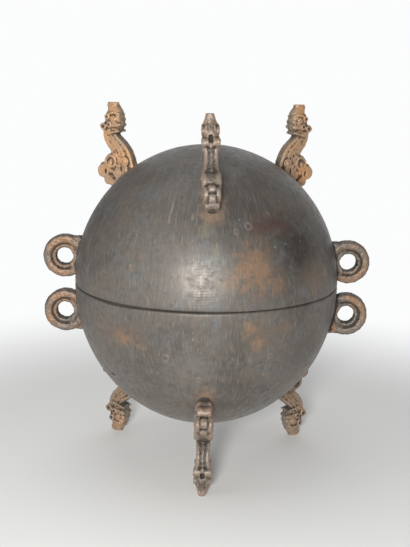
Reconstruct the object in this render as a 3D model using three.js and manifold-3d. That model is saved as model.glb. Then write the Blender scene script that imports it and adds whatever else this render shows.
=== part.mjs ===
import * as THREE from 'three';
import { mergeVertices } from 'three/addons/utils/BufferGeometryUtils.js';
import Module from 'manifold-3d';

// A round bronze vessel with a lid: two deep half-round shells that meet rim to rim.
// Each shell has three cast beast legs and two ring handles, made apart and soldered on,
// so the lid turned over stands on its own legs as a second bowl.
// Millimetres, +Z up, front towards -Y, feet on z = 0, axis of the shells on x = y = 0.

// Shells
const bodyRadius = 100;
const lidHeight = 104;
const bowlDepth = 109.5;
const wall = 3;
const rimRounding = 1.5;
const seamGap = 0.3;
const solderGap = 0.3;

// Locating lip that stands inside the bowl's rim and keeps the lid from sliding
const lipHeight = 4;
const lipThickness = 2;
const lipClearance = 0.5;
const lipSkirt = 8;
const lipTaper = 4;

// Legs: where they sit on the shell, and how far their tips pass the crown or the bottom
const legSeatRadius = 70;
const lidLegReach = 28;
const bowlFootReach = 28.5;

// Ring handles
const lidRingRise = 17.3;
const bowlRingDrop = 24.3;
const ringOffset = 8;
const ringOuterDiameter = 32.6;
const ringBore = 13;
const ringThickness = 10.8;
const ringCollarThickness = 8.4;
const ringCollarWidth = 2.8;
const ringGrooveWidth = 1.4;
const ringGrooveDepth = 1;
const ringShankHeight = 28;

// Facets
const shellSides = 42;
const outerSteps = 8;
const innerSteps = 5;
const ringSides = 16;
const legSides = 8;
const largeRoundSides = 10;
const smallRoundSides = 7;
const largeRound = 8;

const deg = Math.PI / 180;
const seamHeight = bowlFootReach + bowlDepth;
const rimFace = seamGap / 2;

const wasm = await Module();
wasm.setup();

// Closed three.js geometry with shared vertices, without the flat triangles at a pole
function weld(geometry) {
  const bare = geometry.clone();
  bare.deleteAttribute('normal');
  bare.deleteAttribute('uv');
  const merged = mergeVertices(bare, 1e-4);
  const index = merged.index.array;
  const kept = [];
  for (let i = 0; i < index.length; i += 3) {
    const [a, b, c] = index.slice(i, i + 3);
    if (a !== b && b !== c && c !== a) kept.push(a, b, c);
  }
  merged.setIndex(kept);
  return merged;
}

function toSolid(geometry) {
  const merged = weld(geometry);
  return new wasm.Manifold(new wasm.Mesh({
    numProp: 3,
    vertProperties: new Float32Array(merged.attributes.position.array),
    triVerts: new Uint32Array(merged.index.array),
  }));
}

function toGeometry(solid) {
  const mesh = solid.getMesh();
  const geometry = new THREE.BufferGeometry();
  geometry.setAttribute('position', new THREE.BufferAttribute(mesh.vertProperties, 3));
  geometry.setIndex(new THREE.BufferAttribute(mesh.triVerts, 1));
  geometry.computeVertexNormals();
  return geometry;
}

function join(geometries) {
  return geometries.map(toSolid).reduce((whole, next) => whole.add(next));
}

// Lathe about Z from a profile of [radius, height] points that climbs on its outside
function turn(profile, sides) {
  const points = profile.map(([radius, height]) => new THREE.Vector2(radius, height));
  return new THREE.LatheGeometry(points, sides).rotateX(Math.PI / 2);
}

// Points on a quarter ellipse, from the angle "from" to the angle "to", 0 at the pole
function quarter(radius, height, from, to, steps) {
  return Array.from({ length: steps + 1 }, (_, i) => {
    const angle = from + (to - from) * i / steps;
    return [radius * Math.sin(angle), height * Math.cos(angle)];
  });
}

// Outside of a shell from its pole to its rounded rim, grown by "grow"
function outsideCurve(height, grow) {
  const rimAngle = Math.acos((rimFace + rimRounding) / height);
  return quarter(bodyRadius + grow, height + grow, 0, rimAngle, outerSteps);
}

// One shell, crown or bottom at +height, rim at 0; the bowl is made this way up too
function shellProfile(height, lip) {
  const outside = outsideCurve(height, 0);
  const bevel = rimRounding * (1 - Math.SQRT1_2);
  const rim = [
    [bodyRadius - bevel, rimFace + bevel],
    [bodyRadius - rimRounding, rimFace],
  ];
  const mouth = bodyRadius - wall;
  const lipRoom = lipHeight + lipClearance;
  const innerStart = Math.acos((lip ? lipSkirt + lipTaper : lipRoom) / (height - wall));
  const inside = quarter(mouth, height - wall, innerStart, 0, innerSteps);
  if (!lip) {
    return [...outside, ...rim, [mouth, rimFace], [mouth, lipRoom], ...inside.slice(1)].reverse();
  }
  const lipOutside = mouth - lipClearance;
  const lipInside = lipOutside - lipThickness;
  const lipPoints = [
    [lipOutside, rimFace],
    [lipOutside, -lipHeight],
    [lipInside, -lipHeight],
    [lipInside, lipSkirt],
  ];
  return [...outside, ...rim, ...lipPoints, ...inside].reverse();
}

// The space that both shells fill, grown by the solder gap: every leg and ring is cut to it
function bodySpace() {
  const crown = outsideCurve(lidHeight, solderGap);
  const bottom = outsideCurve(bowlDepth, solderGap).map(([r, z]) => [r, -z]);
  return turn([...bottom, ...crown.reverse()], shellSides);
}

// Leg form, in hundredths of the leg's height, outward and up from its seat on the shell.
// Each station of the S-shaped body: outward, up, half depth, half width.
const legBody = [
  [-1, -12, 17, 9.5],
  [0, 14, 16.5, 10],
  [3.5, 29, 15.5, 9],
  [10, 40, 14, 8],
  [19, 47, 13.4, 7.8],
  [25, 53, 12.6, 7.8],
  [26.5, 59, 12.2, 8],
  [23.5, 65, 16.5, 9.5],
  [21.5, 73, 18.5, 10.4],
  [21.5, 81, 16, 10.2],
  [21, 88, 12.5, 9],
  [24, 94, 10, 6],
  [24, 101, 9, 4.5],
];
// Round forms seen from the side: outward, up, radius, half width
const legRounds = {
  haunch: [26, 17, 15, 11],
  lowerHaunch: [24, -5, 13.5, 9],
  tailRoll: [43, 7.5, 10, 4.3],
  crestCurl: [31, 94.5, 4.6, 4.6],
  upperEar: [35.5, 78, 5.6, 10.6],
  lowerEar: [41, 67.5, 6.2, 10.6],
  hipSpiral: [6.5, 20, 5, 11],
  eye: [17, 77, 3.2, 11.2],
};
// Slot that parts the ears on the outer side: from, to, low, high, half width
const earSlot = [34, 50, 62, 86, 2.9];
const sectionPower = 2.8;

// Sweep of a rounded rectangle along the stations, closed at both ends
function sweep(stations) {
  const vertices = [];
  stations.forEach(([x, z, depth, width], i) => {
    const before = stations[Math.max(i - 1, 0)];
    const after = stations[Math.min(i + 1, stations.length - 1)];
    const along = Math.atan2(after[1] - before[1], after[0] - before[0]);
    const level = i === stations.length - 1 ? Math.PI / 2 : along;
    for (let side = 0; side < legSides; side += 1) {
      const angle = (side + 0.5) * 2 * Math.PI / legSides;
      const c = Math.cos(angle);
      const s = Math.sin(angle);
      const across = depth * Math.sign(c) * Math.abs(c) ** (2 / sectionPower);
      const y = width * Math.sign(s) * Math.abs(s) ** (2 / sectionPower);
      vertices.push(x + across * Math.sin(level), y, z - across * Math.cos(level));
    }
  });
  const index = [];
  const last = (stations.length - 1) * legSides;
  for (let ring = 0; ring < stations.length - 1; ring += 1) {
    for (let side = 0; side < legSides; side += 1) {
      const a = ring * legSides + side;
      const b = ring * legSides + (side + 1) % legSides;
      index.push(a, b, b + legSides, a, b + legSides, a + legSides);
    }
  }
  for (let side = 1; side < legSides - 1; side += 1) {
    index.push(0, side + 1, side);
    index.push(last, last + side, last + side + 1);
  }
  const geometry = new THREE.BufferGeometry();
  geometry.setAttribute('position', new THREE.Float32BufferAttribute(vertices, 3));
  geometry.setIndex(index);
  return geometry;
}

function round([x, z, radius, width]) {
  const sides = radius > largeRound ? largeRoundSides : smallRoundSides;
  return new THREE.CylinderGeometry(radius, radius, 2 * width, sides).translate(x, 0, z);
}

// Beast leg standing on its seat at the origin of its shell, outward along +X
function beastLeg(shellHeight, reach, lean) {
  const seatHeight = shellHeight * Math.sqrt(1 - (legSeatRadius / bodyRadius) ** 2);
  const scale = (shellHeight + reach - seatHeight) / 100;
  const place = (geometry) => geometry
    .scale(scale, scale, scale)
    .rotateX(lean)
    .translate(legSeatRadius, 0, seatHeight);
  const [slotFrom, slotTo, slotLow, slotHigh, slotWidth] = earSlot;
  const slot = new THREE.BoxGeometry(slotTo - slotFrom, 2 * slotWidth, slotHigh - slotLow)
    .translate((slotFrom + slotTo) / 2, 0, (slotLow + slotHigh) / 2);
  const forms = [sweep(legBody), ...Object.values(legRounds).map(round)];
  const tipTrim = new THREE.BoxGeometry(2 * bodyRadius, bodyRadius, bodyRadius)
    .translate(legSeatRadius, 0, shellHeight + reach + bodyRadius / 2);
  return join(forms.map(place)).subtract(toSolid(place(slot))).subtract(toSolid(tipTrim));
}

// Ring handle about its own hole, axis along Y, the shell lying towards -X
function ringHandle() {
  const outer = ringOuterDiameter / 2;
  const bore = ringBore / 2;
  const collar = bore + ringCollarWidth;
  const groove = collar + ringGrooveWidth / 2;
  const roll = collar + ringGrooveWidth;
  const rollHalf = ringThickness / 2;
  const collarHalf = ringCollarThickness / 2;
  const rollCrest = (roll + outer) / 2;
  const face = [
    [bore, collarHalf - ringGrooveDepth / 2],
    [collar, collarHalf],
    [groove, collarHalf - ringGrooveDepth],
    [roll, rollHalf - ringGrooveDepth / 2],
    [rollCrest, rollHalf],
    [outer, rollHalf / 3],
  ];
  const back = face.map(([r, y]) => [r, -y]);
  const section = [...back, ...face.reverse(), back[0]];
  const loop = new THREE.LatheGeometry(section.map(([r, y]) => new THREE.Vector2(r, y)), ringSides);
  const shankEnd = -bore - ringCollarWidth / 3;
  const shankStart = -ringOffset - ringShankHeight / 2;
  const shank = new THREE.BoxGeometry(shankEnd - shankStart, ringThickness, ringShankHeight)
    .translate((shankStart + shankEnd) / 2, 0, 0);
  const hole = new THREE.CylinderGeometry(bore, bore, 2 * ringThickness, ringSides);
  return join([loop, shank]).subtract(toSolid(hole));
}

const bodyBronze = { color: 0x5c5750, roughness: 0.5, metalness: 0.8 };
const castBronze = { color: 0x8a6b52, roughness: 0.65, metalness: 0.7 };

function piece(name, geometry, finish) {
  const mesh = new THREE.Mesh(geometry, new THREE.MeshStandardMaterial(finish));
  mesh.name = name;
  return mesh;
}

// Puts a leg or ring at its place on the shells and cuts its root to the curve of their outside
function solderOn(name, solid, position, rotation) {
  const mesh = piece(name, undefined, castBronze);
  mesh.position.copy(position);
  mesh.rotation.copy(rotation);
  mesh.updateMatrix();
  const space = bodySpace().applyMatrix4(mesh.matrix.clone().invert());
  mesh.geometry = toGeometry(solid.subtract(toSolid(space)));
  return mesh;
}

function legs(prefix, shellHeight, reach, turnedOver, places) {
  return places.map(({ place, azimuth, lean }) => solderOn(
    `${prefix}_${place}`,
    beastLeg(shellHeight, reach, lean * deg),
    new THREE.Vector3(),
    new THREE.Euler(turnedOver ? Math.PI : 0, 0, azimuth * deg, 'ZYX'),
  ));
}

function rings(prefix, height) {
  const outward = { right: 0, left: Math.PI };
  return Object.entries(outward).map(([side, azimuth]) => solderOn(
    `${prefix}_${side}`,
    ringHandle(),
    new THREE.Vector3(Math.cos(azimuth) * (bodyRadius + ringOffset), 0, height),
    new THREE.Euler(0, 0, azimuth),
  ));
}

// The old castings sit a few degrees off true: azimuth from +X, lean sideways, in degrees
const lidLegPlaces = [
  { place: 'front', azimuth: -88, lean: 2.3 },
  { place: 'rear_right', azimuth: 32, lean: 0 },
  { place: 'rear_left', azimuth: 153, lean: 0 },
];
const bowlFootPlaces = [
  { place: 'front', azimuth: -90, lean: -0.7 },
  { place: 'rear_right', azimuth: 27, lean: 0 },
  { place: 'rear_left', azimuth: 148, lean: 0 },
];

const bowl = piece('bowl', turn(shellProfile(bowlDepth, true), shellSides), bodyBronze);
bowl.rotation.x = Math.PI;
const lid = piece('lid', turn(shellProfile(lidHeight, false), shellSides), bodyBronze);
for (const shell of [bowl, lid]) shell.geometry = toGeometry(toSolid(shell.geometry));

// Built about the centre of the seam, then stood on its feet
const vessel = new THREE.Group();
vessel.position.z = seamHeight;
vessel.add(
  bowl,
  lid,
  ...legs('lid_leg', lidHeight, lidLegReach, false, lidLegPlaces),
  ...legs('bowl_foot', bowlDepth, bowlFootReach, true, bowlFootPlaces),
  ...rings('lid_ring', lidRingRise),
  ...rings('bowl_ring', -bowlRingDrop),
);

const group = new THREE.Group();
group.add(vessel);

export default group;
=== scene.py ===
import math

import bmesh
import bpy
import numpy as np
from mathutils import Matrix, Vector


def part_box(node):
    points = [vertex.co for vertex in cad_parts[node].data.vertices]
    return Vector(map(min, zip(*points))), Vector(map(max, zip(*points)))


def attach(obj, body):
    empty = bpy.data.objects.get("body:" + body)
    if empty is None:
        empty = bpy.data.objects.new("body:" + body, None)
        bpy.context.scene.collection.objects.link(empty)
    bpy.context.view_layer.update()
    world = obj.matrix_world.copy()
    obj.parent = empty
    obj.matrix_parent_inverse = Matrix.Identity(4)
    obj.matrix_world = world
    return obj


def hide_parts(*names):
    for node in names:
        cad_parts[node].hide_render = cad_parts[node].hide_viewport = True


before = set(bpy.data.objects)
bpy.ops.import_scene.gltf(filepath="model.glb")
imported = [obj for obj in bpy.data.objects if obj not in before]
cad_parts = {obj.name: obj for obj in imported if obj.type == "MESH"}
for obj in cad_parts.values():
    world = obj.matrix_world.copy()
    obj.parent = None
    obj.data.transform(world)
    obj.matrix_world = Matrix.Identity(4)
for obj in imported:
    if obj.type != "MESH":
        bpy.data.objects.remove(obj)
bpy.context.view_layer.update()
bpy.ops.object.select_all(action="DESELECT")


# Camera, floor and studio light.
# A small lamp beside the lens lights the front, and wide ones fill in from the left, from above and
# weakly from behind; the pale table is grey under the vessel and runs out to white.
mm = 0.001
half_seam_gap = 0.15 * mm
seam_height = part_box("lid")[0].z - half_seam_gap
camera_distance = 774 * mm
camera_rise = 175 * mm
camera_aside = -1 * mm
camera_pitch = math.radians(12.36)
camera_roll = math.radians(0.94)
camera_lens = 68.09
table_radius = 8
table_sides = 128
table_grey = (0.76, 0.765, 0.76, 1)
table_grey_to = 190 * mm
table_white_from = 480 * mm
table_bounce = 0.80
bounce_tint = (1.0, 0.965, 0.92, 1)
backdrop_white = (0.97, 0.975, 0.98, 1)
backdrop_light = 0.29

turn_down = Matrix.Rotation(math.pi / 2 - camera_pitch, 4, "X")
roll = Matrix.Rotation(camera_roll, 4, "Z")
bpy.ops.object.camera_add(
    location=(camera_aside, -camera_distance, seam_height + camera_rise),
    rotation=(turn_down @ roll).to_euler(),
)
camera = bpy.context.object
camera.data.lens = camera_lens
bpy.context.scene.camera = camera
bpy.context.scene.view_settings.view_transform = "Standard"

# Place, width, watts and colour of each lamp
vessel_middle = Vector((0, 0, seam_height))
lamps = {
    "front_lamp": ((-0.09, -0.86, 0.31), 0.16, 8.7, (1, 0.98, 0.95)),
    "left_fill": ((-1.1, -0.75, 0.30), 1.6, 5.5, (1, 1, 1)),
    "top_fill": ((-0.2, 0.3, 1.5), 1.2, 3.5, (1, 1, 1)),
    "back_fill": ((0.2, 1.3, 0.5), 1.8, 7, (1, 1, 1)),
}
for name, (place, width, watts, colour) in lamps.items():
    bpy.ops.object.light_add(type="AREA", location=place)
    lamp = bpy.context.object
    lamp.name = name
    lamp.data.shape = "DISK"
    lamp.data.size = width
    lamp.data.energy = watts
    lamp.data.color = colour
    lamp.rotation_euler = (vessel_middle - Vector(place)).to_track_quat("-Z", "Y").to_euler()


def add_node(tree, kind, inputs=(), **settings):
    """Adds a shader node; an input's value is another node's socket or a plain value."""
    added = tree.nodes.new(kind)
    for setting, value in settings.items():
        setattr(added, setting, value)
    for socket, value in dict(inputs).items():
        if isinstance(value, bpy.types.NodeSocket):
            tree.links.new(value, added.inputs[socket])
        else:
            added.inputs[socket].default_value = value
    return added


def ramp(tree, value, low, high, to_low=0.0, to_high=1.0):
    """A smooth step of value from low to high."""
    inputs = {"Value": value, "From Min": low, "From Max": high, "To Min": to_low, "To Max": to_high}
    return add_node(tree, "ShaderNodeMapRange", inputs, interpolation_type="SMOOTHSTEP").outputs[0]


def empty_material(name):
    """A new material and its node tree, which has no nodes yet."""
    made = bpy.data.materials.new(name)
    made.use_nodes = True
    made.node_tree.nodes.clear()
    return made, made.node_tree


table_finish, tree = empty_material("pale_table")
place = add_node(tree, "ShaderNodeTexCoord").outputs["Object"]
away = add_node(tree, "ShaderNodeVectorMath", {0: place}, operation="LENGTH").outputs["Value"]
whitening = ramp(tree, away, table_grey_to, table_white_from)
paper = add_node(tree, "ShaderNodeBsdfDiffuse", {"Color": table_grey}).outputs[0]
glow = add_node(tree, "ShaderNodeEmission", {"Color": backdrop_white}).outputs[0]
mixed = add_node(tree, "ShaderNodeMixShader", {0: whitening, 1: paper, 2: glow}).outputs[0]
bounced_light = {"Color": bounce_tint, "Strength": table_bounce}
bounce = add_node(tree, "ShaderNodeEmission", bounced_light).outputs[0]
by_camera = add_node(tree, "ShaderNodeLightPath").outputs["Is Camera Ray"]
seen_or_bounced = add_node(tree, "ShaderNodeMixShader", {0: by_camera, 1: bounce, 2: mixed}).outputs[0]
add_node(tree, "ShaderNodeOutputMaterial", {"Surface": seen_or_bounced})

bpy.ops.mesh.primitive_circle_add(vertices=table_sides, radius=table_radius, fill_type="NGON")
table = bpy.context.object
table.name = "table"
table.data.materials.append(table_finish)

world = bpy.data.worlds.new("white_studio")
world.use_nodes = True
world.node_tree.nodes.clear()
tree = world.node_tree
seen = add_node(tree, "ShaderNodeBackground", {"Color": backdrop_white}).outputs[0]
cast_light = {"Color": backdrop_white, "Strength": backdrop_light}
lit = add_node(tree, "ShaderNodeBackground", cast_light).outputs[0]
by_camera = add_node(tree, "ShaderNodeLightPath").outputs["Is Camera Ray"]
sky = add_node(tree, "ShaderNodeMixShader", {0: by_camera, 1: lit, 2: seen}).outputs[0]
add_node(tree, "ShaderNodeOutputWorld", {"Surface": sky})
bpy.context.scene.world = world


# Bowl and lid.
# Two cast bronze shells, each a little deeper than a half ball, that meet rim to rim. A lip inside
# the bowl's rim keeps the lid from sliding. The skin is dark, worn smooth and scratched from use.
lid_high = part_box("lid")[1]
bowl_low, bowl_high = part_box("bowl")
body_radius = lid_high.x
lid_rise = lid_high.z - seam_height
bowl_drop = seam_height - bowl_low.z
wall = 3 * mm
rim_rounding = 1.5 * mm
lip_height = bowl_high.z - seam_height
lip_thickness = 2 * mm
lip_clearance = 0.5 * mm
lip_skirt = 8 * mm
lip_taper = 4 * mm
outer_rows = 84
inner_rows = 26
rim_steps = 5
shell_sides = 320
merge_distance = 0.01 * mm


def shell_profile(height, has_lip):
    """Points (radius, height over the rim) from the pole outside, over the rim, to the pole inside."""
    mouth = body_radius - wall
    rim_angle = math.acos((half_seam_gap + rim_rounding) / height)
    points = []
    for row in range(outer_rows + 1):
        angle = rim_angle * row / outer_rows
        points.append((body_radius * math.sin(angle), height * math.cos(angle)))
    for step in range(1, rim_steps + 1):
        angle = math.pi / 2 * step / rim_steps
        points.append((
            body_radius - rim_rounding * (1 - math.cos(angle)),
            half_seam_gap + rim_rounding * (1 - math.sin(angle)),
        ))
    if has_lip:
        lip_outside = mouth - lip_clearance
        lip_inside = lip_outside - lip_thickness
        inside_from = lip_skirt + lip_taper
        points += [
            (lip_outside, half_seam_gap),
            (lip_outside, -lip_height),
            (lip_inside, -lip_height),
            (lip_inside, lip_skirt),
        ]
    else:
        inside_from = lip_height + lip_clearance
        points += [(mouth, half_seam_gap), (mouth, inside_from)]
    inner_angle = math.acos(inside_from / (height - wall))
    first_row = 0 if has_lip else 1
    for row in range(first_row, inner_rows + 1):
        angle = inner_angle * (1 - row / inner_rows)
        points.append((mouth * math.sin(angle), (height - wall) * math.cos(angle)))
    return points


def spin_solid(name, profile, centre, axis, steps):
    """Draws a profile point by point and spins it round the axis into a closed solid."""
    bpy.ops.mesh.primitive_plane_add(size=mm)
    solid = bpy.context.object
    solid.name = name
    bpy.ops.object.mode_set(mode="EDIT")
    bpy.ops.mesh.merge(type="CENTER")
    bpy.ops.transform.translate(value=profile[0])
    for start, end in zip(profile, profile[1:]):
        bpy.ops.mesh.extrude_region_move(TRANSFORM_OT_translate={"value": end - start})
    bpy.ops.mesh.select_all(action="SELECT")
    bpy.ops.mesh.spin(steps=steps, angle=math.tau, center=centre, axis=axis)
    bpy.ops.mesh.select_all(action="SELECT")
    bpy.ops.mesh.remove_doubles(threshold=merge_distance)
    bpy.ops.mesh.normals_make_consistent(inside=False)
    bpy.ops.object.mode_set(mode="OBJECT")
    return solid


def vertex_values(mesh, attribute):
    """The places or normals of a mesh as an array with one row for each vertex."""
    values = np.empty(len(mesh.vertices) * 3, np.float32)
    mesh.vertices.foreach_get(attribute, values)
    return values.reshape(-1, 3).astype(float)


def set_places(mesh, places):
    """Moves the vertices of a mesh to these places."""
    mesh.vertices.foreach_set("co", places.astype(np.float32).ravel())
    mesh.update()


def select_only(piece):
    """Selects this piece alone and makes it the active one."""
    bpy.ops.object.select_all(action="DESELECT")
    piece.select_set(True)
    bpy.context.view_layer.objects.active = piece


def apply_modifier(piece, kind, **settings):
    """Adds a modifier with these settings and applies it."""
    select_only(piece)
    modifier = piece.modifiers.new(kind.lower(), kind)
    for setting, value in settings.items():
        setattr(modifier, setting, value)
    bpy.ops.object.modifier_apply(modifier=modifier.name)


def roughen(piece, lumps):
    """Moves the skin in and out in lumps: the grain's size, and how deep from hollow to crest."""
    for grain, depth in lumps:
        lumpy = bpy.data.textures.new(piece.name + "_lumps", "CLOUDS")
        lumpy.noise_scale = grain
        lumpy.noise_depth = 2
        apply_modifier(
            piece, "DISPLACE", texture=lumpy, texture_coords="LOCAL", strength=depth, mid_level=0.5)


def on_shell(azimuth, height):
    """Point on the outside of the shells. Azimuth 0 is the front, and height is over the seam."""
    rise = lid_rise if height > 0 else bowl_drop
    radius = body_radius * math.sqrt(1 - (height / rise) ** 2)
    angle = math.radians(azimuth)
    return Vector((radius * math.sin(angle), -radius * math.cos(angle), seam_height + height))


def refine(piece, centre, reach, cuts):
    """Splits the faces near a point, so that a small mark has faces of its own."""
    mesh = piece.data
    middles = np.empty(len(mesh.polygons) * 3, np.float32)
    mesh.polygons.foreach_get("center", middles)
    near = np.linalg.norm(middles.reshape(-1, 3) - np.array(centre), axis=1) < reach
    mesh.vertices.foreach_set("select", np.zeros(len(mesh.vertices), bool))
    mesh.edges.foreach_set("select", np.zeros(len(mesh.edges), bool))
    mesh.polygons.foreach_set("select", near)
    select_only(piece)
    bpy.ops.object.mode_set(mode="EDIT")
    bpy.ops.mesh.subdivide(number_cuts=cuts)
    bpy.ops.object.mode_set(mode="OBJECT")


# Middle and half width of a round groove, as shares of the mark's reach
groove_at = 0.7
groove_half_width = 0.3


def press(piece, centre, reach, depth, ring=False):
    """Presses a dimple, or with ring a round groove, into the skin about a point."""
    places = vertex_values(piece.data, "co")
    normals = vertex_values(piece.data, "normal")
    away = np.linalg.norm((places - np.array(centre)) / np.array(reach), axis=1)
    if ring:
        away = (away - groove_at) / groove_half_width
    amount = np.clip(1 - away ** 2, 0, 1) ** 2
    set_places(piece.data, places - normals * (amount * depth)[:, None])


# Grain and depth of the skin's lumps
shell_lumps = [(26 * mm, 0.35 * mm), (5 * mm, 0.07 * mm)]

# Marks on the skin, in degrees and millimetres: azimuth, height over the seam, reach, depth, and
# whether it is a round groove
lid_marks = [
    (19.2, 56, 3.4, 0.30, True),
    (13.2, 52.8, 2.6, 0.20, True),
    (36.8, 27.6, 1.6, 0.40, False),
    (30.5, 41.6, 1.6, 0.35, False),
    (-32.4, 27, 2.2, 0.40, False),
    (-28.2, 33.5, 1.8, 0.25, False),
    (18, 14.6, 1.5, 0.30, False),
    (36.5, 43.4, 1.4, -0.25, False),
    (118, 40, 2.4, 0.30, True),
    (-150, 22, 1.9, 0.30, False),
    (170, 61, 1.6, 0.30, False),
]
bowl_marks = [
    (-16.8, -34.7, 3.6, 0.35, True),
    (-2.8, -51.1, 2.8, 0.30, True),
    (28.5, -34.5, 3.0, 0.30, True),
    (-54, -27.1, 1.8, 0.35, False),
    (-27, -60.7, 1.7, 0.30, False),
    (39.5, -13.4, 1.5, 0.30, False),
    (27.5, -49.5, 1.8, 0.35, False),
    (-71.2, -65.1, 2.2, -0.70, False),
    (96, -30, 2.6, 0.30, True),
    (-128, -48, 1.9, 0.35, False),
    (158, -18, 1.7, 0.30, False),
]
slit_place = (-53.5, -60.4)
slit_half_length = 2.6 * mm
slit_half_width = 0.8 * mm
slit_depth = 1.6 * mm
mark_cuts = 3
mark_refined = 1.2
slit_refined = 1.5

# Azimuth, spread in degrees and depth of each worn place in the bowl's rim
rim_dips = [(-40, 16, 1.2 * mm), (-8, 34, 0.5 * mm)]
rim_wear_height = 4 * mm
rim_wear_tolerance = 0.2 * mm


def make_shell(name, height, up, marks, has_lip):
    """One shell with its lumps and marks; up is +1 for the lid and -1 for the bowl."""
    flat = shell_profile(height, has_lip)
    profile = [Vector((radius, 0, seam_height + up * rise)) for radius, rise in flat]
    shell = spin_solid(name, profile, (0, 0, 0), (0, 0, 1), shell_sides)
    roughen(shell, shell_lumps)
    for azimuth, mark_height, reach, depth, ring in marks:
        centre = on_shell(azimuth, mark_height * mm)
        refine(shell, centre, mark_refined * reach * mm, mark_cuts)
        press(shell, centre, [reach * mm] * 3, depth * mm, ring)
    return shell


lid = make_shell("lid_shell", lid_rise, 1, lid_marks, False)
bowl = make_shell("bowl_shell", bowl_drop, -1, bowl_marks, True)

# A casting flaw gapes low on the bowl's left, and the bowl's rim is worn down beside the front
slit_centre = on_shell(slit_place[0], slit_place[1] * mm)
refine(bowl, slit_centre, slit_refined * slit_half_length, mark_cuts)
press(bowl, slit_centre, [slit_half_length, slit_half_length, slit_half_width], slit_depth)
places = vertex_values(bowl.data, "co")
azimuths = np.degrees(np.arctan2(places[:, 0], -places[:, 1]))
radii = np.hypot(places[:, 0], places[:, 1])
near_rim = np.clip(1 - (seam_height - places[:, 2]) / rim_wear_height, 0, 1)
near_rim *= radii > body_radius - wall - rim_wear_tolerance
for dip_azimuth, spread, depth in rim_dips:
    places[:, 2] -= depth * near_rim * np.exp(-(((azimuths - dip_azimuth) / spread) ** 2))
set_places(bowl.data, places)


def calc(tree, operation, first, second=0.0):
    """One step of arithmetic on values, for a mask or a height."""
    inputs = {0: first, 1: second}
    return add_node(tree, "ShaderNodeMath", inputs, operation=operation).outputs[0]


def blend_colour(tree, factor, first, second):
    """Second colour over the first one by factor."""
    inputs = {0: factor, 6: first, 7: second}
    return add_node(tree, "ShaderNodeMix", inputs, data_type="RGBA").outputs[2]


def new_group(name, inputs, outputs):
    """An empty node group whose sockets have these names and kinds."""
    group = bpy.data.node_groups.new(name, "ShaderNodeTree")
    for way, sockets in (("INPUT", inputs), ("OUTPUT", outputs)):
        for socket, kind in sockets.items():
            group.interface.new_socket(socket, in_out=way, socket_type="NodeSocket" + kind)
    return group


def add_noise(tree, place, scale, detail, roughness):
    """A noise value over the object, finer with a higher scale."""
    inputs = {"Vector": place, "Scale": scale, "Detail": detail, "Roughness": roughness}
    return add_node(tree, "ShaderNodeTexNoise", inputs).outputs["Fac"]


# The patch group gives a ragged-edged spot at a place on the shells, by azimuth and height
patch_inputs = {
    "Place": "Vector", "Azimuth": "Float", "Height": "Float", "Half width": "Float",
    "Half height": "Float", "Softness": "Float", "Ragged": "Float",
}
patch_group = new_group("patina_patch", patch_inputs, {"Mask": "Float"})
tree = patch_group
given = add_node(tree, "NodeGroupInput").outputs
split = add_node(tree, "ShaderNodeSeparateXYZ", {0: given["Place"]}).outputs
to_front = calc(tree, "MULTIPLY", split["Y"], -1.0)
angle = calc(tree, "ARCTAN2", split["X"], to_front)
own_angle = calc(tree, "RADIANS", given["Azimuth"])
turned = calc(tree, "WRAP", calc(tree, "SUBTRACT", angle, own_angle), math.pi)
turned.node.inputs[2].default_value = -math.pi
across = calc(tree, "MULTIPLY", turned, body_radius / mm)
over_seam = calc(tree, "SUBTRACT", split["Z"], seam_height)
along = calc(tree, "SUBTRACT", calc(tree, "DIVIDE", over_seam, mm), given["Height"])
fray = add_noise(tree, given["Place"], scale=160, detail=4, roughness=0.65)
wide = calc(tree, "DIVIDE", across, given["Half width"])
high = calc(tree, "DIVIDE", along, given["Half height"])
squared = calc(tree, "ADD", calc(tree, "MULTIPLY", wide, wide), calc(tree, "MULTIPLY", high, high))
shift = calc(tree, "MULTIPLY", calc(tree, "SUBTRACT", fray, 0.5), given["Ragged"])
away = calc(tree, "ADD", calc(tree, "SQRT", squared), shift)
soft_from = calc(tree, "SUBTRACT", 1.0, given["Softness"])
mask = ramp(tree, away, soft_from, 1.0, 1.0, 0.0)
add_node(tree, "NodeGroupOutput", {"Mask": mask})

# The scratch group gives fine lines that run up and down the shells, as scouring leaves them
scratch_inputs = {"Place": "Vector", "Fineness": "Float", "Length": "Float"}
scratch_group = new_group("upright_scratches", scratch_inputs, {"Lines": "Float"})
tree = scratch_group
given = add_node(tree, "NodeGroupInput").outputs
split = add_node(tree, "ShaderNodeSeparateXYZ", {0: given["Place"]}).outputs
x_squared = calc(tree, "MULTIPLY", split["X"], split["X"])
y_squared = calc(tree, "MULTIPLY", split["Y"], split["Y"])
flat = calc(tree, "SQRT", calc(tree, "ADD", x_squared, y_squared))
round_x = calc(tree, "DIVIDE", split["X"], flat)
round_y = calc(tree, "DIVIDE", split["Y"], flat)
line_x = calc(tree, "MULTIPLY", round_x, given["Fineness"])
line_y = calc(tree, "MULTIPLY", round_y, given["Fineness"])
line_z = calc(tree, "DIVIDE", split["Z"], given["Length"])
line_place = add_node(tree, "ShaderNodeCombineXYZ", {0: line_x, 1: line_y, 2: line_z}).outputs[0]
lines = add_noise(tree, line_place, scale=1, detail=3, roughness=0.6)
add_node(tree, "NodeGroupOutput", {"Lines": lines})


def add_patch(tree, place, azimuth, height, half_width, half_height, softness, ragged):
    """Mask of one patch, sizes in millimetres, azimuth in degrees from the front."""
    inputs = {
        "Place": place, "Azimuth": azimuth, "Height": height, "Half width": half_width,
        "Half height": half_height, "Softness": softness, "Ragged": ragged,
    }
    return add_node(tree, "ShaderNodeGroup", inputs, node_tree=patch_group).outputs["Mask"]


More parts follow.
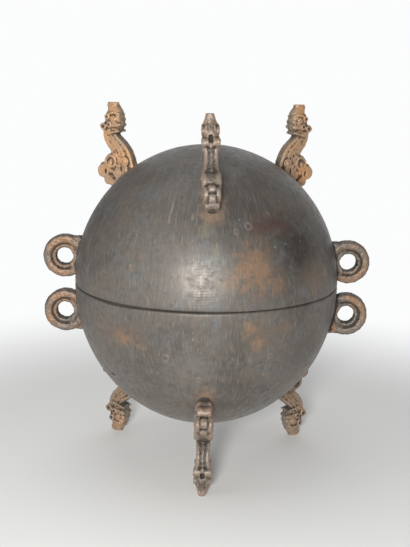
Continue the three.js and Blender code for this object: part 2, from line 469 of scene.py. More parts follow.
def add_scratches(tree, place, fineness, length):
    """Upright lines of about this length, closer together with a higher fineness."""
    inputs = {"Place": place, "Fineness": fineness, "Length": length}
    return add_node(tree, "ShaderNodeGroup", inputs, node_tree=scratch_group).outputs["Lines"]


skin_dark = (0.066, 0.059, 0.052, 1)
skin_mid = (0.108, 0.100, 0.090, 1)
skin_light = (0.165, 0.155, 0.140, 1)
skin_brown = (0.120, 0.098, 0.082, 1)
orange_brown = (0.255, 0.150, 0.088, 1)
dull_brown = (0.150, 0.102, 0.072, 1)
solder_tan = (0.36, 0.25, 0.17, 1)
dark_red = (0.070, 0.030, 0.026, 1)
near_black = (0.022, 0.018, 0.016, 1)
blue_grey = (0.105, 0.115, 0.125, 1)
purple_grey = (0.115, 0.095, 0.100, 1)
yellow_stain = (0.19, 0.175, 0.11, 1)
pale_speck = (0.38, 0.35, 0.31, 1)

# Patches of the patina, and on the bowl a pale patch of painted highlight and a black patch of painted
# shade: colour, strength, azimuth in degrees, height over the seam, half width and half height in
# millimetres, softness, raggedness
lid_patches = [
    (near_black, 0.9, 44, 38, 36, 30, 0.95, 1.3),
    (near_black, 0.45, 70, 34, 26, 34, 0.95, 1.3),
    (dark_red, 0.7, 32, 56, 34, 11, 0.9, 1.4),
    (dull_brown, 0.6, 52, 18, 24, 16, 0.95, 1.6),
    (dull_brown, 0.7, 20, 30, 26, 26, 0.98, 1.8),
    (orange_brown, 0.62, 20, 27, 20, 19, 0.98, 2.4),
    (orange_brown, 0.35, 11, 21, 12, 9, 0.98, 2.2),
    (orange_brown, 0.35, 30, 17, 12, 10, 0.98, 2.2),
    (orange_brown, 0.35, 22, 37, 7, 7, 0.95, 1.4),
    (purple_grey, 0.6, -14, 36, 14, 16, 0.95, 1.0),
    (solder_tan, 0.7, 3, 71, 16, 18, 0.95, 1.2),
    (orange_brown, 0.28, 3.5, 65, 13, 10, 0.98, 1.8),
    (yellow_stain, 0.5, -1, 54, 7, 7, 0.95, 1.6),
    (yellow_stain, 0.3, 4, 42, 4, 10, 0.95, 1.4),
    (blue_grey, 0.7, 43, 9, 6, 6, 0.9, 1.0),
    (dull_brown, 0.8, 51, 7, 4, 9, 0.9, 1.2),
    (orange_brown, 0.6, 60, 18, 4, 6, 0.9, 1.3),
    (orange_brown, 0.4, -32.4, 26, 2.6, 3, 0.8, 1.0),
    (dull_brown, 0.6, -28.2, 33.5, 3, 2.2, 0.8, 1.0),
    (pale_speck, 0.6, -32.8, 28.1, 0.8, 0.8, 0.6, 0.5),
    (pale_speck, 0.30, -18.5, 66, 1.1, 15, 0.9, 2.2),
    (pale_speck, 0.25, -7, 61, 2.0, 3, 0.9, 1.6),
    (pale_speck, 0.5, 15.5, 60.3, 0.7, 0.8, 0.6, 0.5),
    (pale_speck, 0.5, 36.5, 43.4, 0.8, 0.8, 0.6, 0.5),
    (pale_speck, 0.4, 45.8, 43.7, 0.7, 0.8, 0.6, 0.5),
    (pale_speck, 0.3, 30.5, 41.6, 1.0, 0.9, 0.6, 0.5),
    (pale_speck, 0.5, 36.8, 27.6, 0.9, 0.8, 0.6, 0.5),
    (dull_brown, 0.6, 118, 34, 28, 20, 0.95, 1.6),
    (orange_brown, 0.35, 176, 24, 14, 12, 0.95, 1.8),
    (near_black, 0.5, -120, 40, 28, 20, 0.95, 1.4),
    (solder_tan, 0.5, 122, 64, 13, 12, 0.8, 1.1),
    (solder_tan, 0.5, -117, 64, 13, 12, 0.8, 1.1),
]
bowl_patches = [
    # Painted highlight: this pale patch brightens the bowl's front where the lamp's light falls
    (skin_light, 0.6, -3, -42, 36, 36, 0.98, 1.8),
    (near_black, 0.35, 50, -36, 34, 30, 0.95, 1.3),
    (dull_brown, 0.7, -38, -22, 30, 12, 0.95, 1.6),
    (orange_brown, 0.35, -50, -19, 7, 6, 0.95, 1.5),
    (orange_brown, 0.55, -36, -25, 13, 7, 0.95, 1.8),
    (orange_brown, 0.5, -27, -29, 7, 6, 0.95, 1.7),
    (dull_brown, 0.6, 22, -18, 14, 15, 0.98, 1.7),
    (orange_brown, 0.6, 17, -12.5, 8, 9, 0.98, 2.0),
    (orange_brown, 0.55, 22, -25, 7, 9, 0.98, 2.0),
    (dull_brown, 0.65, 33, -14, 14, 7, 0.95, 1.6),
    (blue_grey, 0.8, 4, -9.8, 3, 6, 0.9, 1.0),
    (solder_tan, 0.65, 0, -68, 15, 13, 0.95, 1.2),
    (orange_brown, 0.4, -54, -27, 2.2, 2.2, 0.8, 1.0),
    (pale_speck, 0.3, -5, -14.5, 1.0, 1.6, 0.8, 0.9),
    (pale_speck, 0.3, -5, -18.9, 1.0, 1.8, 0.8, 0.9),
    (orange_brown, 0.45, 27.5, -49.5, 3, 3, 0.8, 1.0),
    (pale_speck, 0.5, 27.5, -49.3, 0.8, 0.8, 0.6, 0.5),
    (pale_speck, 0.5, 39.5, -13.4, 0.8, 0.8, 0.6, 0.5),
    (pale_speck, 0.4, 51.5, -39.1, 0.8, 0.8, 0.6, 0.5),
    (pale_speck, 0.5, -53.5, -61.4, 3.0, 2.2, 0.6, 0.6),
    # Painted shade: this black patch fills the casting flaw's shallow slit as if the gap were deep
    (near_black, 1.0, -53.5, -60.4, 3.4, 2.0, 0.35, 0.3),
    (dull_brown, 0.6, 130, -30, 30, 18, 0.95, 1.6),
    (orange_brown, 0.35, -160, -26, 16, 12, 0.95, 1.8),
    (solder_tan, 0.5, 117, -63, 12, 8, 0.85, 1.2),
    (solder_tan, 0.5, -122, -63, 12, 8, 0.85, 1.2),
]

# The round grooves' pale bands, and the fine level ripples in the skin at the front
ring_mark_tint = (0.30, 0.235, 0.20, 1)
ring_mark_strength = 0.34
ring_mark_outside = 1.05
ring_mark_inside = 0.65
ripple_pitch = 1.9
ripple_wander = 14
ripple_waver = 7
ripple_azimuth = -1.2
ripple_half_width = 12
ripple_half_height = 26


def shell_finish(name, patches, marks, ripple_height):
    """Dark worn bronze with scratches, the patches in their places and ripples at the front."""
    made, tree = empty_material(name)
    place = add_node(tree, "ShaderNodeTexCoord").outputs["Object"]
    clouds = add_noise(tree, place, scale=16, detail=5, roughness=0.6)
    stain = add_noise(tree, place, scale=60, detail=4, roughness=0.65)
    mottle = add_noise(tree, place, scale=240, detail=4, roughness=0.7)
    fine = add_scratches(tree, place, 95, 7 * mm)
    coarse = add_scratches(tree, place, 34, 12 * mm)
    colour = blend_colour(tree, ramp(tree, clouds, 0.40, 0.68), skin_mid, skin_dark)
    colour = blend_colour(tree, ramp(tree, stain, 0.50, 0.66, 0.0, 0.7), colour, skin_brown)
    colour = blend_colour(tree, ramp(tree, stain, 0.46, 0.34, 0.0, 0.45), colour, blue_grey)
    colour = blend_colour(tree, ramp(tree, fine, 0.50, 0.72, 0.0, 0.8), colour, skin_light)
    colour = blend_colour(tree, ramp(tree, coarse, 0.55, 0.75, 0.0, 0.5), colour, skin_dark)
    for tint, strength, azimuth, height, half_width, half_height, softness, ragged in patches:
        mask = add_patch(tree, place, azimuth, height, half_width, half_height, softness, ragged)
        streaked = calc(tree, "MULTIPLY", mask, ramp(tree, fine, 0.25, 0.6, 0.55 * strength, strength))
        colour = blend_colour(tree, streaked, colour, tint)
    for azimuth, height, reach, depth, ring in marks:
        if ring:
            outside = ring_mark_outside * reach
            inside = ring_mark_inside * reach
            halo = add_patch(tree, place, azimuth, height, outside, outside, 0.5, 0.9)
            core = add_patch(tree, place, azimuth, height, inside, inside, 0.6, 0.8)
            band = calc(tree, "MULTIPLY", calc(tree, "SUBTRACT", halo, core), ring_mark_strength)
            colour = blend_colour(tree, calc(tree, "MAXIMUM", band, 0.0), colour, ring_mark_tint)
    colour = blend_colour(tree, ramp(tree, mottle, 0.50, 0.72, 0.0, 0.65), colour, skin_dark)
    ripple_mask = add_patch(
        tree, place, ripple_azimuth, ripple_height, ripple_half_width, ripple_half_height, 0.9, 0.9)
    level = calc(tree, "DIVIDE", add_node(tree, "ShaderNodeSeparateXYZ", {0: place}).outputs["Z"], mm)
    wander = calc(tree, "MULTIPLY", clouds, ripple_wander)
    wander = calc(tree, "ADD", wander, calc(tree, "MULTIPLY", stain, ripple_waver))
    wave_at = calc(tree, "ADD", calc(tree, "MULTIPLY", level, math.tau / ripple_pitch), wander)
    ripple_strength = calc(tree, "MULTIPLY", ripple_mask, ramp(tree, mottle, 0.35, 0.6, 0.12, 0.4))
    ripple = calc(tree, "MULTIPLY", calc(tree, "SINE", wave_at), ripple_strength)
    raised = calc(tree, "ADD", calc(tree, "MULTIPLY", fine, 0.7), calc(tree, "MULTIPLY", coarse, 0.5))
    raised = calc(tree, "ADD", raised, calc(tree, "MULTIPLY", mottle, 0.45))
    raised = calc(tree, "ADD", raised, ripple)
    bump = add_node(tree, "ShaderNodeBump", {"Strength": 0.28, "Distance": 0.25 * mm, "Height": raised})
    roughness = ramp(tree, mottle, 0.3, 0.75, 0.42, 0.58)
    shader = add_node(tree, "ShaderNodeBsdfPrincipled", {
        "Base Color": colour, "Roughness": roughness, "Normal": bump.outputs[0], "Metallic": 0.28,
    })
    add_node(tree, "ShaderNodeOutputMaterial", {"Surface": shader.outputs[0]})
    return made


for shell, node, patches, marks, ripple_height in (
    (lid, "lid", lid_patches, lid_marks, 16),
    (bowl, "bowl", bowl_patches, bowl_marks, -26),
):
    shell.data.materials.append(shell_finish(node + "_patina", patches, marks, ripple_height))
    select_only(shell)
    bpy.ops.object.shade_smooth_by_angle(angle=math.radians(40))
    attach(shell, "root")
    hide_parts(node)


# Beast legs.
# Six castings of one S-shaped beast: haunch and tail roll on the shell, a neck of lengthwise
# strands, and a head with curled ears and a crest. Three stand on the lid, three carry the bowl.
legs_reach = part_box("lid_leg_front")[1].z
leg_seat_radius = 70 * mm
seat_share = math.sqrt(1 - (leg_seat_radius / body_radius) ** 2)
lid_seat_rise = lid_rise * seat_share
bowl_seat_drop = bowl_drop * seat_share
lid_leg_length = legs_reach - seam_height - lid_seat_rise
bowl_foot_length = seam_height - bowl_seat_drop
unit = lid_leg_length / 100
leg_grain = 0.42 * mm

# Everything below is in hundredths of the leg's length: outward, up, then sizes. The body's
# stations end with their half depth and half width, and the guides bound the strands of the neck
leg_core = [
    (1, -30, 13.5, 9), (1, -6, 13.5, 9.2), (2, 12, 13.8, 9.3), (5, 27, 13.6, 8.4), (10, 38, 12, 7.2),
    (17, 45.5, 11, 6.6), (22, 52, 10.4, 6.4), (24, 59, 10.4, 7), (22, 65, 13, 8.8), (20, 73, 14.2, 9.6),
    (19.5, 81, 12.8, 9), (19.5, 88, 10.4, 8.2), (22, 94, 8.2, 6.2), (22.5, 101, 7.8, 4.3),
]
core_sides = 28
section_power = 2.8
inner_guide = [(-12.5, -6), (-12, 13), (-9, 25), (-4, 36.5), (3.2, 45.5), (11.5, 52), (17.5, 58), (19, 64)]
outer_guide = [(13, -6), (14, 13), (16.5, 25), (21, 35), (28, 42.5), (32.5, 50), (34, 58), (32.5, 64)]
guide_half_width = [10.4, 10.8, 10.2, 8.8, 8.2, 8, 8.4, 9.4]
strand_count = 4
strand_radius = 2.9
edge_strand_radius = 2.6
back_strand_radius = 3.2
first_strand = 0.26
edge_strands = (-4.6, 0, 4.6)
edge_strand_sunk = 1.6
back_strand_sunk = 2.4
collar_beads = 5


def new_form(name="leg_form"):
    """Names the shape that was just added and puts its place, turn and size into its mesh."""
    form = bpy.context.object
    form.name = name
    bpy.ops.object.transform_apply(location=True, rotation=True, scale=True)
    return form


def roll_form(outward, up, radius, half_width, rounding):
    """A roll that lies across the leg, with rounded ends."""
    bpy.ops.mesh.primitive_cylinder_add(
        vertices=40, radius=radius * unit, depth=2 * half_width * unit,
        location=(outward * unit, 0, up * unit), rotation=(math.pi / 2, 0, 0))
    form = new_form()
    apply_modifier(form, "BEVEL", width=rounding * unit, segments=3, limit_method="ANGLE")
    return form


def ball_form(outward, up, sideways, radii):
    """A rounded lobe or bead."""
    bpy.ops.mesh.primitive_uv_sphere_add(
        segments=24, ring_count=14, radius=1, scale=[size * unit for size in radii],
        location=(outward * unit, sideways * unit, up * unit))
    return new_form()


def hoop_form(outward, up, sideways, radius, thickness):
    """A raised ring on a side face."""
    bpy.ops.mesh.primitive_torus_add(
        major_segments=36, minor_segments=12, major_radius=radius * unit, minor_radius=thickness * unit,
        location=(outward * unit, sideways * unit, up * unit), rotation=(math.pi / 2, 0, 0))
    return new_form()


def strand_form(lines):
    """Rounded strands, one through each line of points (outward, up, sideways, radius)."""
    curve = bpy.data.curves.new("strands", "CURVE")
    curve.dimensions = "3D"
    curve.bevel_depth = unit
    curve.bevel_resolution = 4
    curve.use_fill_caps = True
    for line in lines:
        spline = curve.splines.new("NURBS")
        spline.points.add(len(line) - 1)
        for point, (outward, up, sideways, radius) in zip(spline.points, line):
            point.co = (outward * unit, sideways * unit, up * unit, 1)
            point.radius = radius
        spline.order_u = 3
        spline.use_endpoint_u = True
        spline.resolution_u = 6
    form = bpy.data.objects.new("leg_form", curve)
    bpy.context.scene.collection.objects.link(form)
    select_only(form)
    bpy.ops.object.convert(target="MESH")
    return bpy.context.object


def bulged(share, power):
    """A sine or cosine brought nearer to 1, which makes a round section squarer."""
    return math.copysign(abs(share) ** power, share)


def core_form():
    """The leg's plain body, its section extruded from station to station."""
    ring_angles = [math.tau * (step + 0.5) / core_sides for step in range(core_sides)]
    bpy.ops.mesh.primitive_circle_add(vertices=core_sides, radius=unit, fill_type="NGON")
    form = new_form()
    bpy.ops.object.mode_set(mode="EDIT")
    for index, (outward, up, depth, width) in enumerate(leg_core):
        if index:
            bpy.ops.mesh.extrude_region_move()
        before = leg_core[max(index - 1, 0)]
        after = leg_core[min(index + 1, len(leg_core) - 1)]
        level = math.atan2(after[1] - before[1], after[0] - before[0])
        if index == len(leg_core) - 1:
            level = math.pi / 2
        edit = bmesh.from_edit_mesh(form.data)
        ring = [vertex for vertex in edit.verts if vertex.select]
        ring.sort(key=lambda vertex: vertex.index)
        for vertex, angle in zip(ring, ring_angles):
            across = depth * bulged(math.cos(angle), 2 / section_power)
            sideways = width * bulged(math.sin(angle), 2 / section_power)
            vertex.co = Vector((
                outward + across * math.sin(level), sideways, up - across * math.cos(level))) * unit
        bmesh.update_edit_mesh(form.data)
    bpy.ops.mesh.select_all(action="SELECT")
    bpy.ops.mesh.fill_holes(sides=0)
    bpy.ops.mesh.normals_make_consistent(inside=False)
    bpy.ops.object.mode_set(mode="OBJECT")
    return form


def fuse(forms, name, grain):
    """Joins closed forms into one skin, its faces about as big as the grain."""
    select_only(forms[0])
    for form in forms:
        form.select_set(True)
    bpy.ops.object.join()
    whole = bpy.context.object
    whole.name = name
    apply_modifier(whole, "REMESH", mode="VOXEL", voxel_size=grain)
    return whole


def cut_away(piece, cutter):
    """Takes the cutter's space out of a piece, and then the cutter away."""
    apply_modifier(piece, "BOOLEAN", operation="DIFFERENCE", object=cutter, solver="MANIFOLD")
    bpy.data.objects.remove(cutter)


neck_lines = []
for side in (-1, 1):
    for strand in range(strand_count):
        share = first_strand + (1 - first_strand) * (strand + 0.5) / strand_count
        line = []
        for (x0, z0), (x1, z1), half_width in zip(inner_guide, outer_guide, guide_half_width):
            sideways = side * (half_width - strand_radius)
            line.append((x0 + (x1 - x0) * share, z0 + (z1 - z0) * share, sideways, strand_radius))
        neck_lines.append(line)
for sideways in edge_strands:
    neck_lines.append(
        [(x + edge_strand_sunk, z, sideways, edge_strand_radius) for x, z in inner_guide])
neck_lines.append([(x - back_strand_sunk, z, 0, back_strand_radius) for x, z in outer_guide[1:]])

# The haunch, the rolls of the tail and root, a knot under the neck's bend, then brow and jaw
forms = [
    core_form(),
    strand_form(neck_lines),
    roll_form(18, 19.5, 14, 10.2, 2),
    roll_form(33.5, 8.5, 9.4, 10, 2),
    roll_form(26, -3.2, 7.2, 8.8, 2),
    roll_form(17, -6, 8, 8.6, 2),
    roll_form(20, 4, 6.5, 8.4, 2),
    ball_form(20, 35, 0, (4.4, 6, 3)),
    roll_form(27, 81, 4.4, 9.8, 1.4),
    roll_form(33, 68, 5, 10, 1.4),
]
plain_leg = fuse(forms, "beast_leg", leg_grain)

# A slot parts the tail roll's two ends, and another the two sides of the jaw
cut_away(plain_leg, roll_form(43, 8, 13.5, 4.9, 0.5))
bpy.ops.mesh.primitive_cube_add(
    size=1, location=(38 * unit, 0, 69 * unit), scale=(16 * unit, 5.4 * unit, 16 * unit))
cut_away(plain_leg, new_form())

# Small rolls and a bead in the slots, a crest, and on both sides curls, an eye, an ear and beads
relief = [
    plain_leg,
    roll_form(36.5, 14.5, 5.6, 4.1, 1.6),
    roll_form(39.5, 5, 6.2, 4.1, 1.6),
    roll_form(26, 95.8, 4.6, 4.2, 1.4),
    ball_form(35.6, 64.8, 0, (3.4, 2.5, 3.6)),
]
for side in (-1, 1):
    relief += [
        hoop_form(-0.6, 22.6, side * 9.8, 5.2, 1.3),
        ball_form(-0.6, 22.6, side * 9.4, (3.8, 2.6, 4.2)),
        hoop_form(10.9, 6.3, side * 9.6, 5.2, 1.3),
        ball_form(10.9, 6.3, side * 9.2, (3.8, 2.4, 3.8)),
        hoop_form(21.5, 22, side * 9.8, 7.4, 1.6),
        ball_form(22.5, 19.5, side * 9.2, (3.4, 2.2, 4.4)),
        hoop_form(27.4, 81, side * 9.6, 2.6, 1.2),
        hoop_form(33.2, 68, side * 9.8, 3.4, 1.3),
        hoop_form(18.5, 78.5, side * 9.2, 2.9, 1.1),
        ball_form(18.5, 78.5, side * 9.2, (1.7, 1.5, 1.7)),
        hoop_form(24.5, 70.5, side * 9.4, 2.8, 1.1),
        ball_form(12.5, 70.5, side * 7, (6, 3.4, 3.4)),
        ball_form(10.5, 77, side * 5.4, (3.6, 3.6, 3.4)),
        ball_form(-9, 7, side * 7.8, (3.6, 3, 5)),
        ball_form(22.5, 88.5, side * 5.2, (3.8, 2.8, 3.2)),
    ]
    for bead in range(collar_beads):
        outward = 10.5 + 3.8 * bead
        up = 62.4 - 0.9 * bead
        relief.append(ball_form(outward, up, side * 8, (2.1, 2.2, 2)))
brow_lines = [
    [(9, 84, side * 5.8, 1.5), (14, 86.8, side * 8, 1.8), (20, 86.4, side * 8.8, 1.8),
     (26, 84.4, side * 9, 1.6)]
    for side in (-1, 1)
]
snout_lines = [
    [(31.4, 76, sideways, 1.2), (31.2, 81, sideways, 1.3), (29, 87.5, 0.8 * sideways, 1.2)]
    for sideways in (-5.6, -1.8, 1.8, 5.6)
]
relief += [strand_form(brow_lines), strand_form(snout_lines)]
leg = fuse(relief, "beast_leg", leg_grain)
apply_modifier(leg, "SMOOTH", factor=0.5, iterations=4)

# Grain and depth of the casting's lumps
leg_lumps = [(2.4 * mm, 0.65 * mm), (0.8 * mm, 0.22 * mm)]

# Hollows on both sides: outward, up, half depth of the leg there, reach outward and up, depth
hollow_reach = 3
leg_hollows = [
    (29.6, 7.5, 10.2, 2.8, 5.2, 2.2), (27.4, 81, 10.2, 1.8, 2, 1.4), (29.4, 73.6, 9.6, 2.4, 3, 2.2),
    (33.4, 68, 10.4, 2, 2.4, 1.4), (24.5, 70.5, 9.6, 2, 2, 1.3), (24, 89.6, 4.4, 2.8, 2.4, 2.6),
    (16, 66.4, 9, 6, 1.4, 1.5), (4.4, 12.6, 9.6, 3, 5, 1.2), (17.5, -1, 9.6, 4, 2.6, 1.2),
    (19.5, 32, 9, 4, 3, 1.2),
]
for outward, up, half_width, reach_out, reach_up, depth in leg_hollows:
    for side in (-1, 1):
        centre = [outward * unit, side * half_width * unit, up * unit]
        reach = [reach_out * unit, hollow_reach * unit, reach_up * unit]
        press(leg, centre, reach, depth * unit)
roughen(leg, leg_lumps)

# How many edges far each value is blurred, and the depth that counts as a full hollow
near_blur = 8
far_blur = 52
facing_blur = 6
hollow_spread = 0.6 * mm


def averaged(values, first, second, steps):
    """Values blurred from vertex to vertex along the edges that join first to second."""
    neighbours = np.maximum(np.bincount(np.r_[first, second], minlength=len(values)), 1)
    for step in range(steps):
        sums = [
            np.bincount(first, column[second], len(values))
            + np.bincount(second, column[first], len(values))
            for column in values.T
        ]
        values = np.stack(sums, axis=1) / neighbours[:, None]
    return values


def mark_skin(piece, across, root_dirt_and_shadow):
    """Writes two values for each vertex: how deep in a hollow or how near the root it lies, for
    painted shade, dirt at the joint and painted shadow, and how far it faces across the casting."""
    mesh = piece.data
    places = vertex_values(mesh, "co")
    normals = vertex_values(mesh, "normal")
    ends = np.empty(len(mesh.edges) * 2, np.int32)
    mesh.edges.foreach_get("vertices", ends)
    first, second = ends.reshape(-1, 2).T
    near = averaged(places, first, second, near_blur)
    far = averaged(near, first, second, far_blur)
    # How deep each vertex lies under its blurred neighbours; the finish darkens the deep ones as painted
    # shade
    sunk = ((near - places) * normals).sum(1) + ((far - places) * normals).sum(1)
    facing = np.abs(normals @ np.array(across))[:, None]
    level = places[:, 2] - seam_height
    rise = np.where(level > 0, lid_rise, bowl_drop)
    flat = (places[:, 0] ** 2 + places[:, 1] ** 2) / body_radius ** 2
    clear = np.sqrt(flat + (level / rise) ** 2) - 1
    # Near the shells the castings darken: dirt at the joints, and a painted shadow of the shells on those
    # on the right
    root = np.clip(1.4 - clear * body_radius / root_dirt_and_shadow, 0, 1)
    written = {
        "hollow": np.clip(sunk / hollow_spread + 2 * root, -1, 1),
        "flank": averaged(facing, first, second, facing_blur)[:, 0] ** 2,
    }
    for name, values in written.items():
        attribute = mesh.attributes.new(name, "FLOAT", "POINT")
        attribute.data.foreach_set("value", values.astype(np.float32))


# The cast group gives the rough skin of the soldered-on castings: grey-brown edges, redder flanks, painted
# shade in the hollows and specks of dirt
cast_inputs = {
    "Place": "Vector", "Hollow": "Float", "Flank": "Float", "Edge colour": "Color",
    "Flank colour": "Color", "Residue": "Color", "Worn": "Color", "Dirt and shade": "Color",
}
cast_outputs = {"Colour": "Color", "Roughness": "Float", "Height": "Float"}
cast_group = new_group("rough_casting", cast_inputs, cast_outputs)
tree = cast_group
given = add_node(tree, "NodeGroupInput").outputs
lump = add_noise(tree, given["Place"], scale=150, detail=4, roughness=0.6)
grit = add_noise(tree, given["Place"], scale=800, detail=3, roughness=0.65)
broad = add_noise(tree, given["Place"], scale=60, detail=3, roughness=0.5)
wander = calc(tree, "MULTIPLY", calc(tree, "SUBTRACT", lump, 0.5), 0.9)
flank = ramp(tree, calc(tree, "ADD", given["Flank"], wander), 0.25, 0.75)
colour = blend_colour(tree, flank, given["Edge colour"], given["Flank colour"])
uneven = calc(tree, "ADD", given["Hollow"], calc(tree, "MULTIPLY", wander, 1.1))
colour = blend_colour(tree, ramp(tree, uneven, -0.35, -1.0, 0.0, 0.6), colour, given["Worn"])
residue = calc(tree, "MULTIPLY", ramp(tree, broad, 0.46, 0.62, 0.0, 0.8), calc(tree, "ADD", flank, 0.25))
colour = blend_colour(tree, residue, colour, given["Residue"])
# Painted shade: the dark colour fills the hollows and the roots, where shade falls
colour = blend_colour(tree, ramp(tree, uneven, 0.04, 0.55, 0.0, 0.9), colour, given["Dirt and shade"])
# Specks of dirt in the same dark colour
colour = blend_colour(tree, ramp(tree, grit, 0.52, 0.8, 0.0, 0.5), colour, given["Dirt and shade"])
roughness = ramp(tree, uneven, -0.6, 0.5, 0.5, 0.85)
height = calc(tree, "ADD", calc(tree, "MULTIPLY", grit, 0.6), lump)
add_node(tree, "NodeGroupOutput", {"Colour": colour, "Roughness": roughness, "Height": height})


def cast_finish(name, colours):
    """Rough cast bronze in these colours, which reads the hollow and flank values of its piece."""
    made, tree = empty_material(name)
    inputs = {
        "Place": add_node(tree, "ShaderNodeTexCoord").outputs["Object"],
        "Hollow": add_node(tree, "ShaderNodeAttribute", attribute_name="hollow").outputs["Fac"],
        "Flank": add_node(tree, "ShaderNodeAttribute", attribute_name="flank").outputs["Fac"],
        **colours,
    }
    cast = add_node(tree, "ShaderNodeGroup", inputs, node_tree=cast_group).outputs
    bump_inputs = {"Strength": 0.6, "Distance": 0.3 * mm, "Height": cast["Height"]}
    bump = add_node(tree, "ShaderNodeBump", bump_inputs).outputs[0]
    shader = add_node(tree, "ShaderNodeBsdfPrincipled", {
        "Base Color": cast["Colour"], "Roughness": cast["Roughness"], "Normal": bump, "Metallic": 0.25,
    }).outputs[0]
    add_node(tree, "ShaderNodeOutputMaterial", {"Surface": shader})
    return made


tan_bronze = cast_finish("tan_leg_bronze", {
    "Edge colour": (0.140, 0.120, 0.092, 1),
    "Flank colour": (0.33, 0.215, 0.135, 1),
    "Residue": (0.45, 0.255, 0.125, 1),
    "Worn": (0.38, 0.270, 0.185, 1),
    "Dirt and shade": (0.055, 0.036, 0.025, 1),
})
grey_bronze = cast_finish("grey_leg_bronze", {
    "Edge colour": (0.090, 0.078, 0.066, 1),
    "Flank colour": (0.28, 0.180, 0.122, 1),
    "Residue": (0.36, 0.22, 0.14, 1),
    "Worn": (0.275, 0.215, 0.172, 1),
    "Dirt and shade": (0.032, 0.024, 0.019, 1),
})
brown_bronze = cast_finish("brown_leg_bronze", {
    "Edge colour": (0.092, 0.080, 0.064, 1),
    "Flank colour": (0.215, 0.150, 0.100, 1),
    "Residue": (0.31, 0.185, 0.105, 1),
    "Worn": (0.25, 0.19, 0.145, 1),
    "Dirt and shade": (0.040, 0.030, 0.024, 1),
})

# Azimuth from the front, lean and splay in degrees, reach of the root's dirt and painted shadow,
# finish, whether it is a foot: the castings sit off true, and where those on the right meet the shells
# the dark reaches further, as a painted shadow of the shells
leg_places = {
    "lid_leg_front": (2, 2.3, 0, 0.5 * mm, grey_bronze, False),
    "lid_leg_rear_right": (122, 0, 0, 3 * mm, tan_bronze, False),
    "lid_leg_rear_left": (243, 0, 0, 0.8 * mm, tan_bronze, False),
    "bowl_foot_front": (0, -0.7, 0, 0.5 * mm, grey_bronze, True),
    "bowl_foot_rear_right": (117, 0, 3, 4 * mm, brown_bronze, True),
    "bowl_foot_rear_left": (239.5, 0, 5, 1 * mm, brown_bronze, True),
}
root_depth = 0.35 * mm
leg_tip = Vector((22 * unit, 0, 100 * unit))
trim_tolerance = 0.001 * mm


def shell_cutter():
    """The space inside the shells' skin, which every leg and ring is cut to."""
    parts = []
    for rise, above in ((lid_rise, True), (bowl_drop, False)):
        size = (body_radius - root_depth, body_radius - root_depth, rise - root_depth)
        bpy.ops.mesh.primitive_uv_sphere_add(
            segments=128, ring_count=96, radius=1, scale=size, location=(0, 0, seam_height))
        parts.append(new_form("shell_space"))
        bpy.ops.object.mode_set(mode="EDIT")
        bpy.ops.mesh.bisect(
            plane_co=(0, 0, seam_height), plane_no=(0, 0, 1), use_fill=False, clear_inner=above,
            clear_outer=not above)
        bpy.ops.object.mode_set(mode="OBJECT")
    select_only(parts[0])
    parts[1].select_set(True)
    bpy.ops.object.join()
    cutter = bpy.context.object
    bpy.ops.object.mode_set(mode="EDIT")
    bpy.ops.mesh.select_all(action="SELECT")
    bpy.ops.mesh.remove_doubles(threshold=merge_distance)
    bpy.ops.mesh.normals_make_consistent(inside=False)
    bpy.ops.object.mode_set(mode="OBJECT")
    return cutter


def trim_level(piece, level, keep_below):
    """Cuts a piece flat at a level, as its tip is worn."""
    select_only(piece)
    bpy.ops.object.mode_set(mode="EDIT")
    bpy.ops.mesh.select_all(action="SELECT")
    bpy.ops.mesh.bisect(
        plane_co=(0, 0, level), plane_no=(0, 0, 1), use_fill=True, clear_outer=keep_below,
        clear_inner=not keep_below, threshold=trim_tolerance)
    bpy.ops.object.mode_set(mode="OBJECT")


def finish_casting(piece, finish, node, across, root_dirt_and_shadow):
    """Cuts a leg or ring to the shells, gives it its finish and lets it stand for its node."""
    cut_away(piece, shell_cutter())
    mark_skin(piece, across, root_dirt_and_shadow)
    piece.data.materials.clear()
    piece.data.materials.append(finish)
    select_only(piece)
    bpy.ops.object.shade_smooth_by_angle(angle=math.radians(60))
    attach(piece, "root")
    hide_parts(node)


for node, (azimuth, lean, splay, root_dirt_and_shadow, finish, turned_over) in leg_places.items():
    size = bowl_foot_length / lid_leg_length if turned_over else 1
    seat = bowl_seat_drop if turned_over else lid_seat_rise
    turn = Matrix.Rotation(math.radians(azimuth - 90), 4, "Z")
    stand = (
        Matrix.Translation((0, 0, seam_height))
        @ turn
        @ Matrix.Rotation(math.pi if turned_over else 0, 4, "X")
        @ Matrix.Translation((leg_seat_radius, 0, seat))
        @ Matrix.Rotation(math.radians(lean), 4, "X")
        @ Matrix.Scale(size, 4)
        @ Matrix.Translation(leg_tip)
        @ Matrix.Rotation(math.radians(splay), 4, "Y")
        @ Matrix.Translation(-leg_tip)
    )
    select_only(leg)
    bpy.ops.object.duplicate(linked=False)
    casting = bpy.context.object
    casting.name = "beast_" + node
    casting.matrix_world = stand
    bpy.ops.object.transform_apply(location=True, rotation=True, scale=True)
    trim_level(casting, 0 if turned_over else legs_reach, not turned_over)
    finish_casting(casting, finish, node, turn @ Vector((0, 1, 0)), root_dirt_and_shadow)
bpy.data.objects.remove(leg)


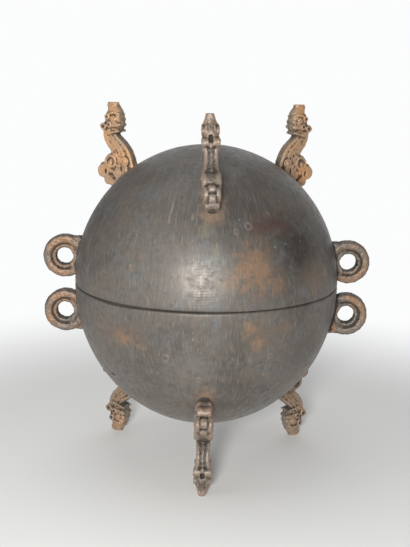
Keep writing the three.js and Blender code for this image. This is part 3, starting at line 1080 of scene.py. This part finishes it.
# Ring handles.
# Four thick cast rings stand out sideways, two on the lid over two on the bowl. Each has a fat
# rounded roll, a groove and a lower collar round its hole, and is soldered on by a short shank.
lid_ring_low, lid_ring_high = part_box("lid_ring_right")
lid_ring_level = (lid_ring_low.z + lid_ring_high.z) / 2 - seam_height
lid_ring_slant = 0.8 * mm
bowl_ring_low, bowl_ring_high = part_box("bowl_ring_right")
bowl_ring_level = (bowl_ring_low.z + bowl_ring_high.z) / 2 - seam_height
ring_radius = 16.3 * mm
ring_bore = 6.5 * mm
ring_offset = 8 * mm
ring_half_thickness = 5.4 * mm
collar_half_thickness = 4.2 * mm
collar_width = 2.4 * mm
collar_rounding = 1.3 * mm
groove_width = 1.2 * mm
groove_depth = 0.5 * mm
roll_inner_edge = 3.6 * mm
roll_outer_edge = 1.6 * mm
roll_fullness = 0.75
roll_steps = 14
ring_sides = 96
shank_length = 21 * mm
shank_size = (shank_length, 1.7 * ring_half_thickness, 27.2 * mm)
shank_start = 0.55 * ring_bore
shank_rounding = 1.4 * mm
bar_size = (15 * mm, 1.75 * ring_half_thickness, 7.4 * mm)
bar_inward = 9 * mm
bar_level = 11.4 * mm
bar_rounding = 2.2 * mm
ring_grain = 0.42 * mm
ring_lumps = [(4 * mm, 0.9 * mm), (1.9 * mm, 0.5 * mm), (0.9 * mm, 0.2 * mm)]
ring_flank = 0.88

# Side, height over the seam, whether the bar is on top (1) or below (-1), reach of the root's dirt and
# painted shadow, which is wider on the right bowl ring
ring_places = {
    "lid_ring_right": (1, lid_ring_level - lid_ring_slant, 1, 1 * mm),
    "bowl_ring_right": (1, bowl_ring_level, -1, 2.5 * mm),
    "lid_ring_left": (-1, lid_ring_level + lid_ring_slant, 1, 1 * mm),
    "bowl_ring_left": (-1, bowl_ring_level, -1, 1 * mm),
}


def ring_profile():
    """Section of a ring as (distance from the hole's axis, along the axis), all the way round."""
    collar = ring_bore + collar_width
    roll_inner = collar + groove_width
    roll_middle = (roll_inner + ring_radius) / 2
    roll_half = (ring_radius - roll_inner) / 2
    face = [
        (ring_bore, collar_half_thickness - collar_rounding),
        (ring_bore + 0.5 * mm, collar_half_thickness - 0.4 * mm),
        (ring_bore + collar_rounding, collar_half_thickness),
        (collar - 0.2 * mm, collar_half_thickness),
        (collar + groove_width / 2, collar_half_thickness - groove_depth),
    ]
    for step in range(roll_steps + 1):
        angle = math.pi - math.pi * step / roll_steps
        out = roll_middle + roll_half * bulged(math.cos(angle), roll_fullness)
        edge = roll_inner_edge if out < roll_middle else roll_outer_edge
        face.append((out, edge + (ring_half_thickness - edge) * math.sin(angle) ** roll_fullness))
    back = [(radius, -along) for radius, along in reversed(face)]
    return face + back + face[:1]


def block_form(middle, size, rounding, rounding_steps):
    """A block with rounded edges, as part of a ring's shank."""
    bpy.ops.mesh.primitive_cube_add(size=1, location=middle, scale=size)
    block = new_form("ring_form")
    apply_modifier(block, "BEVEL", width=rounding, segments=rounding_steps)
    return block


# The rings' near-black edge colour is patina and also painted shade on their rims
ring_finish = cast_finish("ring_bronze", {
    "Edge colour": (0.040, 0.041, 0.036, 1),
    "Flank colour": (0.115, 0.094, 0.077, 1),
    "Residue": (0.215, 0.130, 0.078, 1),
    "Worn": (0.165, 0.137, 0.113, 1),
    "Dirt and shade": (0.045, 0.036, 0.030, 1),
})

# Each ring's loop is joined to its shank and to the bar along the shank's end, then bored through
for node, (side, height, bar_end, root_dirt_and_shadow) in ring_places.items():
    centre = Vector((side * (body_radius + ring_offset), 0, seam_height + height))
    profile = [centre + Vector((radius, along, 0)) for radius, along in ring_profile()]
    loop = spin_solid("ring_form", profile, centre, (0, 1, 0), ring_sides)
    shank_middle = (centre.x - side * (shank_length / 2 + shank_start), 0, centre.z)
    shank = block_form(shank_middle, shank_size, shank_rounding, 3)
    bar_middle = (centre.x - side * bar_inward, 0, centre.z + bar_end * bar_level)
    bar = block_form(bar_middle, bar_size, bar_rounding, 4)
    whole = fuse([loop, shank, bar], "ring_" + node, ring_grain)
    bpy.ops.mesh.primitive_cylinder_add(
        vertices=64, radius=ring_bore, depth=4 * ring_half_thickness, location=centre,
        rotation=(math.pi / 2, 0, 0))
    cut_away(whole, new_form("ring_hole"))
    apply_modifier(whole, "REMESH", mode="VOXEL", voxel_size=ring_grain)
    apply_modifier(whole, "SMOOTH", factor=0.5, iterations=2)
    roughen(whole, ring_lumps)
    finish_casting(whole, ring_finish, node, (0, ring_flank, 0), root_dirt_and_shadow)
